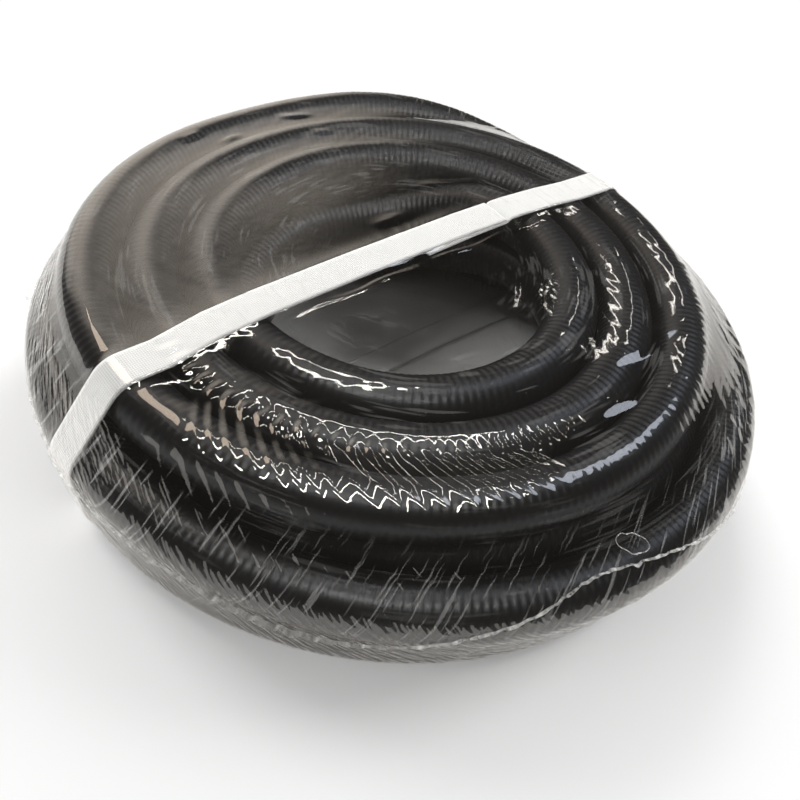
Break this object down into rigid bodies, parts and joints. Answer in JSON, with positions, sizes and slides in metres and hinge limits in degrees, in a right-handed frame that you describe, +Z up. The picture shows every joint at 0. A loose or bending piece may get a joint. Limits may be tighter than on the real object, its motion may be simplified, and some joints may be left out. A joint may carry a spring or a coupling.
{
  "type": "pool vacuum hose",
  "caption": "Ribbed pool vacuum hose with a swivel cuff and a fixed cuff, wound in a flat coil, tied with webbing and wrapped in clear film.",
  "frame": {"origin": "on the floor under the middle of the wrapped coil", "axes": "+Z up, along the coil's axis; +X to the right and -Y towards the viewer of the front"},
  "size_m": [0.6424, 0.6424, 0.1388],
  "materials": {
    "hose": "extruded black EVA, spiral ribbed, half gloss",
    "cuff": "moulded black EVA, satin",
    "ring": "moulded acetal, satin",
    "seal": "cut rubber washer",
    "webbing": "white woven polypropylene webbing",
    "film": "clear shrink film, glossy and wrinkled"
  },
  "bodies": {
    "coil": {"hose_coil": "hose", "hose_outer_end": "hose", "hose_inner_end": "hose", "swivel_sleeve": "cuff", "fixed_cuff": "cuff", "strap": "webbing", "film_top": "film", "film_bottom": "film"},
    "swivel": {"swivel_cuff": "cuff", "swivel_ring": "ring", "swivel_washer": "seal"}
  },
  "joints": [
    {"name": "swivel_turn", "type": "hinge", "parent": "coil", "child": "swivel", "pos_m": [-0.006, 0.28, 0.0298], "axis": [1, 0, 0], "continuous": true}
  ]
}
